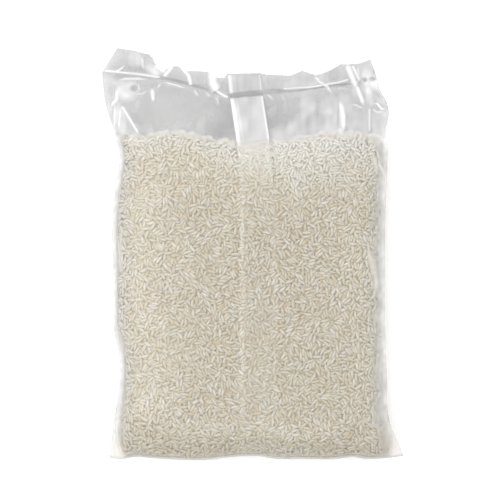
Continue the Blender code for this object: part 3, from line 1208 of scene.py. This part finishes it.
@dataclass
class BottomFin:
    """The sealed fin of the bottom end, folded flat under the bag."""

    form: BagForm
    width_share: float = 0.9
    depth: float = 11.0
    foot_gap: float = 0.6
    columns: int = 120
    rows: int = 14
    clearance: float = 0.4
    droop: float = 0.25
    thickness: float = 0.06
    lowest: float = 0.08
    rib_turn: float = 1.6

    def build(self) -> Piece:
        """Makes the folded fin with its masks.

        Returns:
            The piece.
        """
        across = np.linspace(-self.width_share, self.width_share, self.columns)[None, :]
        share = np.linspace(0, 1, self.rows)[:, None]
        x, _ = self.form.plan(across, np.zeros_like(share))
        depth = self.depth + 0.5 * lumps(x, np.zeros_like(x), 14, 51)
        y = self.form.bottom(x) + self.foot_gap + share * depth
        z = self.form.under(x, y) - self.clearance - self.droop * (1 + lumps(x, y, 12, 52)) * share
        z = np.maximum(z, self.lowest)
        ribs = 0.25 + 0.25 * np.sin(share * self.rows * self.rib_turn)
        masks = {"film_white": ribs, "film_grey": 0.2, "film_near": 1.0}
        lower = np.stack([x, y, z - self.thickness], axis=2)
        return closed_sheet("bottom_fin", np.stack([x, y, z], axis=2), lower, masks)


@dataclass
class RiceRoom:
    """The room under the film that the rice fills, as depths below the film on an even grid."""

    form: BagForm
    pitch: float = 2.5
    rim_gap: float = 2.2
    low_corner: tuple[float, float, float] = (-102.5, -140.0, -2.5)
    high_corner: tuple[float, float, float] = (102.5, 92.5, 45.0)
    skin_rows: int = 110
    skin_columns: int = 90
    thinnest: float = 0.02
    slope_step: float = 1.0
    line_lift: float = 0.5
    line_hills: Hills = ((1.4, 6, 31), (0.8, 3, 32))
    depths: Array = field(init=False)
    origin: Array = field(init=False)

    def __post_init__(self) -> None:
        """Measures the depth below the film at each place of the grid."""
        self.origin = np.array(self.low_corner)
        counts = np.ceil((np.array(self.high_corner) - self.origin) / self.pitch).astype(int)
        skin = self.skin()
        axes = [self.origin[k] + self.pitch * np.arange(counts[k]) for k in range(3)]
        x, y, z = np.meshgrid(*axes, indexing="ij")
        between = (z < self.form.top(x, y)) & (z > self.form.under(x, y))
        inside = between & (self.form.swell(x, y) > self.thinnest)
        places = np.stack([x, y, z], axis=3).reshape(-1, 3)
        distance = np.array([skin.find_nearest(Vector(place))[3] for place in places]).reshape(x.shape)
        self.depths = np.where(inside, distance, -distance)

    def skin(self) -> BVHTree:
        """The film's plain form, to measure from.

        Returns:
            A tree of its triangles.
        """
        rows, columns = self.skin_rows, self.skin_columns
        even = np.linspace(-1, 1, columns)
        sides = 0.5 * even + 0.5 * np.sin(0.5 * np.pi * even)
        ups = np.linspace(0, 1, rows)
        ups = (ups - 0.75 * ups * (1 - ups) ** 3)[:, None]
        x, y = self.form.plan(sides[None, :], ups)
        heights = (self.form.top(x, y), self.form.under(x, y))
        points = np.concatenate([np.stack([x, y, z], axis=2).reshape(-1, 3) for z in heights])
        faces = np.concatenate([grid_faces(rows, columns), grid_faces(rows, columns, rows * columns)])
        return BVHTree.FromPolygons(points.tolist(), faces.tolist())

    def depth(self, places: Array) -> Array:
        """Depth below the film, below the rice's top line or in from the rim, whichever is least.

        Args:
            places: One row to a place.

        Returns:
            The depth at each place, below 0 outside.
        """
        cell = np.clip((places - self.origin) / self.pitch, 0, np.array(self.depths.shape) - 1.001)
        low = cell.astype(int)
        share = cell - low
        total = np.zeros(len(places))
        for corner in np.ndindex(2, 2, 2):
            step = corner[::-1]
            weight = np.prod(np.where(step, share, 1 - share), axis=1)
            total += weight * self.depths[tuple((low + step).T)]
        rim = self.form.off_rim(places[:, 0], places[:, 1]) - self.rim_gap
        return np.minimum(np.minimum(total, self.below_line(places)), rim)

    def below_line(self, places: Array) -> Array:
        """Distance below the ragged upper limit of the rice.

        Args:
            places: One row to a place.

        Returns:
            The distance of each place.
        """
        x, y, z = places.T
        return smooth_curve(self.form.rice_line, x) + self.line_lift + hills(x, z, self.line_hills) - y

    def inward(self, places: Array) -> Array:
        """The way in from the film.

        Args:
            places: One row to a place.

        Returns:
            The way at each place, one unit long.
        """
        shifts = self.slope_step * np.eye(3)
        way = np.stack([self.depth(places + shift) - self.depth(places - shift) for shift in shifts], axis=1)
        return way / np.maximum(np.linalg.norm(way, axis=1, keepdims=True), TINY)


def closed_surface(values: Array, origin: Array, pitch: float) -> tuple[Array, Array]:
    """The closed surface where a field on an even grid is 0, with one point in each cell that it crosses.

    Args:
        values: The field, above 0 inside.
        origin: Place of the grid's first node.
        pitch: Distance from node to node.

    Returns:
        Its points and its faces of four corners.
    """
    cells = tuple(n - 1 for n in values.shape)

    def at(corner: tuple[int, int, int]) -> Array:
        """The field at one corner of every cell."""
        return values[tuple(slice(c, c + n) for c, n in zip(corner, cells))]

    total, hits = np.zeros((*cells, 3)), np.zeros(cells)
    for axis in range(3):
        for first in [c for c in np.ndindex(2, 2, 2) if c[axis] == 0]:
            last = tuple(v + (k == axis) for k, v in enumerate(first))
            low, high = at(first), at(last)
            cross = (low > 0) != (high > 0)
            share = np.where(cross, low / np.where(cross, low - high, 1), 0)
            spot = np.broadcast_to(np.array(first, float), (*cells, 3)).copy()
            spot[..., axis] += share
            total += np.where(cross[..., None], spot, 0)
            hits += cross
    number = np.cumsum(hits.ravel() > 0).reshape(cells) - 1
    found = np.argwhere(hits > 0)
    points = origin + pitch * (found + total[hits > 0] / hits[hits > 0][:, None])
    faces = []
    for axis in range(3):
        low, high = np.delete(values, -1, axis), np.delete(values, 0, axis)
        edges = np.argwhere((low > 0) != (high > 0))
        u, v = np.eye(3, dtype=int)[(axis + 1) % 3], np.eye(3, dtype=int)[(axis + 2) % 3]
        edges = edges[np.all((edges - u - v >= 0) & (edges < np.array(cells)), axis=1)]
        quad = np.stack([number[tuple((edges - shift).T)] for shift in (u + v, v, 0 * u, u)], axis=1)
        outward = low[tuple(edges.T)] > 0
        faces.append(np.where(outward[:, None], quad, quad[:, ::-1]))
    return points, np.concatenate(faces)


def upper_share(places: Array, low: float = 8.0, high: float = 20.0) -> Array:
    """0 for places low in the bag, 1 for those in its upper half and smooth between."""
    return soft_step((places[:, 2] - low) / (high - low))


@dataclass
class RiceCore:
    """The grainy body of rice under the loose grains, a closed solid."""

    room: RiceRoom
    depth_top: float = 2.9
    depth_under: float = 2.5
    grain_bump: float = 0.7
    seed: int = 5

    def build(self) -> Piece:
        """Makes the core.

        Returns:
            The piece.
        """
        room = self.room
        nodes = np.stack(np.meshgrid(*[np.arange(n) for n in room.depths.shape], indexing="ij"), axis=3)
        places = room.origin + room.pitch * nodes.reshape(-1, 3)
        wanted = self.depth_under + (self.depth_top - self.depth_under) * upper_share(places)
        bumps = np.random.default_rng(self.seed).uniform(-self.grain_bump, self.grain_bump, len(places))
        values = (room.depth(places) - wanted + bumps).reshape(room.depths.shape)
        points, faces = closed_surface(values, room.origin, room.pitch)
        piece = mesh_object("rice_core", points, faces)
        # The core's tan to ochre colours paint the shade between the grains.
        finish = GrainFinish(
            "packed_rice", dark_colour=(0.66, 0.52, 0.33, 1), light_colour=(0.76, 0.64, 0.46, 1), glow=0.0
        )
        add_mask(piece, "grain_shade", np.random.default_rng(self.seed).random(len(points)))
        add_mask(piece, "grain_belly", np.zeros(len(points)))
        piece.data.materials.append(finish.build())
        return piece


@dataclass
class GrainPacking:
    """Grains of true size laid at random under the film and pushed apart until they rest side by side."""

    room: RiceRoom
    shell_top: float = 3.9
    shell_under: float = 3.0
    shell_start: float = 0.8
    limits: tuple[tuple[float, float], ...] = ((-101, 101), (-137, 85), (0, 42))
    fill: float = 0.95
    length: float = 6.6
    width: float = 2.3
    thickness: float = 1.85
    length_spread: float = 0.42
    length_limits: tuple[float, float] = (5.2, 7.6)
    broken_share: float = 0.07
    broken_lengths: tuple[float, float] = (3.0, 4.6)
    girth_spread: float = 0.05
    girth_limits: tuple[float, float] = (0.88, 1.14)
    tilt_spread: float = 0.28
    end_slimming: float = 0.35
    tightness: float = 0.9
    film_gap: float = 0.25
    rounds: int = 70
    rounds_for_pairs: int = 10
    cell_margin: float = 1.0
    pair_margin: float = 0.8
    push_share: float = 0.9
    longest_step: float = 0.8
    widest_turn: float = 0.3
    pull_back: float = 0.3
    seed: int = 7
    centres: Array = field(init=False)
    ways: Array = field(init=False)
    halves: Array = field(init=False)
    sizes: Array = field(init=False)

    def shell(self, places: Array) -> Array:
        """How deep the layer of loose grains is at each place."""
        return self.shell_under + (self.shell_top - self.shell_under) * upper_share(places)

    def scatter(self) -> None:
        """Draws the grains' first places, sizes and directions."""
        draw = np.random.default_rng(self.seed)
        one = math.pi / 6 * self.length * self.width * self.thickness
        cell = (one / self.fill) ** (1 / 3)
        axes = [np.arange(low, high, cell) for low, high in self.limits]
        places = np.stack(np.meshgrid(*axes, indexing="ij"), axis=3).reshape(-1, 3)
        places = places + draw.uniform(-0.5 * cell, 0.5 * cell, places.shape)
        depth = self.room.depth(places)
        self.centres = places[(depth > self.shell_start) & (depth < self.shell(places))]
        count = len(self.centres)
        lengths = np.clip(draw.normal(self.length, self.length_spread, count), *self.length_limits)
        broken = draw.random(count) < self.broken_share
        lengths = np.where(broken, draw.uniform(*self.broken_lengths, count), lengths)
        girth = np.clip(draw.normal(1.0, self.girth_spread, count), *self.girth_limits)
        self.sizes = np.stack([lengths, self.width * girth, self.thickness * girth], axis=1)
        self.halves = self.sizes[:, 0] / 2 - self.radii()
        inward = self.room.inward(self.centres)
        loose = draw.normal(size=(count, 3))
        flat = loose - inward * np.sum(loose * inward, axis=1, keepdims=True)
        flat /= np.linalg.norm(flat, axis=1, keepdims=True)
        tilt = draw.normal(0, self.tilt_spread, (count, 1))
        self.ways = flat * np.cos(tilt) + inward * np.sin(tilt)

    def radii(self) -> Array:
        """Half the mean girth at which grains press on one another, a little under the full one."""
        return self.tightness * (self.sizes[:, 1] + self.sizes[:, 2]) / 4

    def slimming(self, place: Array | float) -> Array | float:
        """How thin a grain is at a place along it, from -1 to 1, next to its middle."""
        return 1 - self.end_slimming * place * place

    def pairs(self) -> Array:
        """Finds the grains that may touch, with a grid of cells as long as a grain.

        Returns:
            One row of two grain numbers for each pair.
        """
        reach = self.sizes[:, 0].max() + self.cell_margin
        cells = np.floor((self.centres - self.centres.min(axis=0)) / reach).astype(np.int64) + 1
        spans = cells.max(axis=0) + 3
        keys = (cells[:, 0] * spans[1] + cells[:, 1]) * spans[2] + cells[:, 2]
        order = np.argsort(keys, kind="stable")
        ranked = keys[order]
        found = []
        # Half of the 26 cells round each one, and itself, so that no pair is found twice
        steps = [(i, j, k) for i in (0, 1) for j in (-1, 0, 1) for k in (-1, 0, 1) if (i, j, k) >= (0, 0, 0)]
        for dx, dy, dz in steps:
            target = keys + (dx * spans[1] + dy) * spans[2] + dz
            start = np.searchsorted(ranked, target, side="left")
            count = np.searchsorted(ranked, target, side="right") - start
            first = np.repeat(np.arange(len(keys)), count)
            offset = np.arange(count.sum()) - np.repeat(np.cumsum(count) - count, count)
            second = order[np.repeat(start, count) + offset]
            keep = first < second if (dx, dy, dz) == (0, 0, 0) else first != second
            found.append(np.stack([first[keep], second[keep]], axis=1))
        both = np.concatenate(found)
        apart = np.linalg.norm(self.centres[both[:, 0]] - self.centres[both[:, 1]], axis=1)
        near = (self.sizes[both[:, 0], 0] + self.sizes[both[:, 1], 0]) / 2 + self.pair_margin
        return both[apart < near]

    def settle(self) -> None:
        """Pushes overlapping grains apart and keeps them under the film."""
        self.scatter()
        radii = self.radii()
        inertia = (self.halves + radii) ** 2 / 3
        for turn in range(self.rounds):
            if turn % self.rounds_for_pairs == 0:
                i, j = self.pairs().T
            self.part(i, j, radii, inertia)
            self.hold_in(radii, inertia)

    def part(self, i: Array, j: Array, radii: Array, inertia: Array) -> None:
        """Pushes each two grains apart once, where they press on one another.

        Args:
            i: Number of each pair's first grain.
            j: Number of its second grain.
            radii: Half of each grain's girth.
            inertia: How hard each grain is to turn.
        """
        a, b = self.ways[i] * self.halves[i, None], self.ways[j] * self.halves[j, None]
        gap = self.centres[i] - self.centres[j]
        aa, bb = np.sum(a * a, axis=1), np.sum(b * b, axis=1)
        ab, ag, bg = np.sum(a * b, axis=1), np.sum(a * gap, axis=1), np.sum(b * gap, axis=1)
        lean = np.maximum(aa * bb - ab * ab, TINY)
        s = np.clip((ab * bg - ag * bb) / lean, -1, 1)
        t = np.clip((ab * s + bg) / bb, -1, 1)
        s = np.clip((ab * t - ag) / aa, -1, 1)
        way = gap + a * s[:, None] - b * t[:, None]
        apart = np.maximum(np.linalg.norm(way, axis=1), TINY)
        way /= apart[:, None]
        press = np.maximum(radii[i] * self.slimming(s) + radii[j] * self.slimming(t) - apart, 0)
        turn_i, turn_j = np.cross(a * s[:, None], way), np.cross(b * t[:, None], way)
        heft = 2 + np.sum(turn_i**2, axis=1) / inertia[i] + np.sum(turn_j**2, axis=1) / inertia[j]
        push = (self.push_share * press / heft)[:, None]
        move, spin = np.zeros_like(self.centres), np.zeros_like(self.centres)
        for sign, some, turned in ((1, i, turn_i), (-1, j, turn_j)):
            spun = push * turned / inertia[some, None]
            for axis in range(3):
                move[:, axis] += sign * np.bincount(some, (push * way)[:, axis], len(move))
                spin[:, axis] += sign * np.bincount(some, spun[:, axis], len(spin))
        self.step(move, spin)

    def step(self, move: Array, spin: Array) -> None:
        """Moves and turns every grain by a small amount.

        Args:
            move: How far each grain moves.
            spin: How far it turns, about which axis.
        """
        length = np.linalg.norm(move, axis=1, keepdims=True)
        self.centres = self.centres + move * np.minimum(1, self.longest_step / np.maximum(length, TINY))
        size = np.linalg.norm(spin, axis=1, keepdims=True)
        spin = spin * np.minimum(1, self.widest_turn / np.maximum(size, TINY))
        self.ways = self.ways + np.cross(spin, self.ways)
        self.ways /= np.linalg.norm(self.ways, axis=1, keepdims=True)

    def hold_in(self, radii: Array, inertia: Array) -> None:
        """Keeps both ends of every grain under the film, and its middle in the layer.

        Args:
            radii: Half of each grain's girth.
            inertia: How hard each grain is to turn.
        """
        move, spin = np.zeros_like(self.centres), np.zeros_like(self.centres)
        for end in (-1.0, 0.0, 1.0):
            arm = self.ways * (self.halves * end)[:, None]
            place = self.centres + arm
            room = self.room.depth(place)
            lack = radii / self.tightness * self.slimming(end) + self.film_gap - room
            excess = (-lack - self.shell(place) + 2 * radii) * (end == 0.0)
            shift = np.maximum(lack, 0) - np.clip(excess, 0, self.pull_back)
            push = self.room.inward(place) * shift[:, None]
            move += push / 2
            spin += np.cross(arm, push) / (2 * inertia[:, None])
        self.step(move, spin)


@dataclass(frozen=True)
class GrainShape:
    """One milled long grain, 1 long and 1 wide before it is sized."""

    sides: int = 6
    rings: int = 5
    ring_spread: float = 0.97
    blunt_power: float = 2.6
    girth_power: float = 0.55
    germ_length: float = 0.45
    germ_cut: float = 0.1
    tip_drop: float = 0.08
    bend: float = 0.09
    bend_back: float = 0.05

    def mesh(self) -> tuple[Array, Array, Array]:
        """A closed grain.

        Returns:
            Its points, its triangles and each point's place along it, from -1 to 1.
        """
        places = np.sin(np.linspace(-1, 1, self.rings + 2)[1:-1] * np.pi / 2 * self.ring_spread)
        points, along = [(-0.5, 0.0, 0.0)], [-1.0]
        for place in places:
            girth = 0.5 * (1 - abs(place) ** self.blunt_power) ** self.girth_power
            # The germ end is cut aslant
            dent = self.germ_cut * max(place - (1 - self.germ_length), 0) / self.germ_length
            for k in range(self.sides):
                angle = 2 * math.pi * (k + 0.5) / self.sides
                points.append((place / 2, girth * math.cos(angle) - dent, girth * math.sin(angle)))
                along.append(place)
        points.append((0.5, -self.tip_drop, 0.0))
        along.append(1.0)
        faces = []
        for k in range(self.sides):
            after = (k + 1) % self.sides
            faces.append((0, 1 + after, 1 + k))
            for ring in range(self.rings - 1):
                low, high = 1 + ring * self.sides, 1 + (ring + 1) * self.sides
                faces.append((low + k, low + after, high + after))
                faces.append((low + k, high + after, high + k))
            last = 1 + (self.rings - 1) * self.sides
            faces.append((last + k, last + after, len(points) - 1))
        bent = np.array(points)
        bent[:, 1] += self.bend * (1 - (2 * bent[:, 0]) ** 2) - self.bend_back
        return bent, np.array(faces), np.array(along)


class GrainKind(Enum):
    """The looks of grain in the bag, as (name, lowest draw, highest draw, belly)."""

    GLASSY = ("glassy", 0.0, 0.43, 0.0)
    MILKY = ("milky", 0.43, 0.84, 0.3)
    CHALKY = ("chalky", 0.84, 1.0, 0.7)


@dataclass
class RiceFill:
    """All the loose grains, joined into one piece for each kind and side."""

    form: BagForm
    packing: GrainPacking
    seed: int = 21
    front_height: float = 17.0
    floor_gap: float = 0.05
    roll_spread: float = 0.35
    front_shape: GrainShape = GrainShape(6, 4)
    back_shape: GrainShape = GrainShape(6, 3)
    pale_depths: Curve = ((-92, 18), (-20, 20), (10, 32), (60, 40), (88, 36))
    pale_strengths: Curve = ((-92, 0.85), (-20, 0.85), (10, 1.0), (60, 1.0), (88, 1.0))
    pale_power: float = 0.8
    pale_side: float = 9.0
    belly_middle: float = 1.2
    belly_fall: float = 1.6

    def build(self) -> list[Piece]:
        """Makes the grains.

        Returns:
            The pieces.
        """
        self.packing.settle()
        centres = self.packing.centres
        LOG.info("%d grains", len(centres))
        draw = np.random.default_rng(self.seed)
        kinds, shades = draw.random(len(centres)), draw.random(len(centres))
        rolls = draw.normal(0, self.roll_spread, len(centres))
        front = centres[:, 2] > self.front_height
        finish = GrainFinish("milled_white_rice").build()
        pieces = []
        for kind in GrainKind:
            name, low, high, belly = kind.value
            chosen = (kinds >= low) & (kinds < high)
            for side, mask, shape in (("front", front, self.front_shape), ("back", ~front, self.back_shape)):
                some = np.flatnonzero(chosen & mask)
                piece = self.join(f"{name}_grains_{side}", some, shape, rolls[some], shades[some], belly)
                piece.data.materials.append(finish)
                pieces.append(piece)
        return pieces

    def painted_paleness(self, places: Array) -> Array:
        """How pale the grains are painted: near their top line and in patches in place of glare on the film,
        and at the sides over their shade.

        Args:
            places: One row to a place.

        Returns:
            0 for plain to 1 for chalky.
        """
        x, y = places[:, 0], places[:, 1]
        below = np.clip((smooth_curve(self.form.rice_line, x) - y) / smooth_curve(self.pale_depths, x), 0, 1)
        pale = smooth_curve(self.pale_strengths, x) * (1 - below) ** self.pale_power
        pale = np.maximum(pale, fade(self.form.off_side(x, y), self.pale_side))
        for patch in PALE_PATCHES:
            pale = np.maximum(pale, patch.cover(x, y))
        return pale

    def join(
        self, name: str, some: Array, shape: GrainShape, rolls: Array, shades: Array, belly: float
    ) -> Piece:
        """Joins the chosen grains into one mesh.

        Args:
            name: The piece's name.
            some: Numbers of the grains.
            shape: The grain to repeat.
            rolls: How far each of them is rolled about its length.
            shades: How light each of them is.
            belly: How chalky the middle of each is.

        Returns:
            The piece.
        """
        points, faces, along = shape.mesh()
        centres, ways = self.packing.centres[some], self.packing.ways[some]
        across = np.cross(self.packing.room.inward(centres), ways)
        across /= np.maximum(np.linalg.norm(across, axis=1, keepdims=True), TINY)
        thick = np.cross(ways, across)
        c, s = np.cos(rolls)[:, None], np.sin(rolls)[:, None]
        axes = (ways, across * c + thick * s, thick * c - across * s)
        sizes = self.packing.sizes[some]
        placed = centres[:, None, :]
        for number, axis in enumerate(axes):
            spread = points[None, :, number, None] * (axis * sizes[:, number, None])[:, None, :]
            placed = placed + spread
        placed = placed.reshape(-1, 3)
        placed[:, 2] = np.maximum(placed[:, 2], self.floor_gap)
        numbers = (np.arange(len(some))[:, None, None] * len(points) + faces[None]).reshape(-1, 3)
        piece = mesh_object(name, placed, numbers)
        spot = belly * np.clip(self.belly_middle - self.belly_fall * np.abs(along), 0, 1)
        pale = np.repeat(self.painted_paleness(centres), len(points))
        add_mask(piece, "grain_shade", np.repeat(shades, len(points)))
        # The belly mask also carries the painted paleness.
        add_mask(piece, "grain_belly", np.maximum(np.tile(spot, len(some)), pale))
        return piece


@dataclass(frozen=True)
class Softbox:
    """A rectangular light that faces the bag: its name, its middle in metres and its power in watts."""

    name: str
    place: tuple[float, float, float]
    power: float
    size: tuple[float, float] = (1.2, 0.7)

    def build(self) -> None:
        """Adds the light."""
        light = bpy.data.lights.new(self.name, "AREA")
        light.shape = "RECTANGLE"
        light.size, light.size_y = self.size
        light.energy = self.power
        lamp = bpy.data.objects.new(self.name, light)
        lamp.location = self.place
        lamp.rotation_euler = (-Vector(self.place)).to_track_quat("-Z", "Y").to_euler()
        bpy.context.scene.collection.objects.link(lamp)


@dataclass
class Studio:
    """A plain pale floor, soft lights round the bag and the camera straight over it."""

    picture_width: float = 330.0
    camera_height: float = 1600.0
    reference_height: float = 16.0
    off_centre: tuple[float, float] = (-1.65, 1.65)
    floor_reach: float = 3000.0
    floor_colour: Colour = (0.95, 0.95, 0.95, 1)
    floor_glow: float = 0.2
    world_strength: float = 0.3
    softboxes: tuple[Softbox, ...] = (
        Softbox("softbox_left", (-0.9, 0.1, 1.15), 11.1),
        Softbox("softbox_right", (0.9, 0.1, 1.15), 5.2),
        Softbox("softbox_top", (0.0, 0.95, 1.2), 8.6),
        Softbox("softbox_bottom", (0.0, -0.95, 1.2), 6.5),
    )

    def build(self) -> None:
        """Adds the floor, the softboxes, the soft even world and the camera."""
        self.floor()
        for softbox in self.softboxes:
            softbox.build()
        self.world()
        self.camera()

    def floor(self) -> None:
        """Adds a pale matt floor."""
        corners = np.array([(-1, -1, 0), (1, -1, 0), (1, 1, 0), (-1, 1, 0)]) * self.floor_reach
        floor = mesh_object("studio_floor", corners, np.array([(0, 1, 2, 3)]), smooth=False)
        material = bpy.data.materials.new("pale_floor")
        material.use_nodes = True
        shader = material.node_tree.nodes["Principled BSDF"]
        shader.inputs["Base Color"].default_value = self.floor_colour
        shader.inputs["Roughness"].default_value = 1.0
        shader.inputs["Specular IOR Level"].default_value = 0.0
        shader.inputs["Emission Color"].default_value = PLAIN_WHITE
        shader.inputs["Emission Strength"].default_value = self.floor_glow
        floor.data.materials.append(material)

    def world(self) -> None:
        """Adds the soft even light from all sides."""
        world = bpy.data.worlds.new("soft_room")
        world.use_nodes = True
        background = world.node_tree.nodes["Background"]
        background.inputs["Color"].default_value = PLAIN_WHITE
        background.inputs["Strength"].default_value = self.world_strength
        bpy.context.scene.world = world

    def camera(self) -> None:
        """Adds the camera, square to the bag's shown side."""
        data = bpy.data.cameras.new("camera")
        distance = self.camera_height - self.reference_height
        data.lens = data.sensor_width * distance / self.picture_width
        camera = bpy.data.objects.new("camera", data)
        camera.location = Vector((*self.off_centre, self.camera_height)) * MM
        bpy.context.scene.collection.objects.link(camera)
        scene = bpy.context.scene
        scene.camera = camera
        scene.view_settings.view_transform = "Standard"


def place(piece: Piece) -> None:
    """Makes a piece ride on the bag's body in the place of its solid.

    Args:
        piece: The piece.
    """
    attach(piece, "root")
    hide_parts("rice_bag")
    LOG.info("%s: %d faces", piece.name, len(piece.data.polygons))


def main() -> None:
    """Builds the studio and the bag, piece by piece."""
    logging.basicConfig(level=logging.INFO, format="%(name)s: %(message)s")
    Studio().build()
    form = BagForm()
    bag = FilmBag(form)
    film = FilmFinish("clear_film").build()
    ribbon = FilmFinish(
        "folded_film", clear_alpha=0.05, near_alpha=0.02, white_alpha=0.85, cloud_amount=0.01,
        near_colour=(0.9, 0.88, 0.8, 1),
    ).build()
    for part, finish in ((bag, film), (SeamStrip(form, bag), ribbon), (BottomFin(form), ribbon)):
        piece = part.build()
        piece.data.materials.append(finish)
        place(piece)
    room = RiceRoom(form)
    place(RiceCore(room).build())
    for piece in RiceFill(form, GrainPacking(room)).build():
        place(piece)


if __name__ == "__main__":
    main()
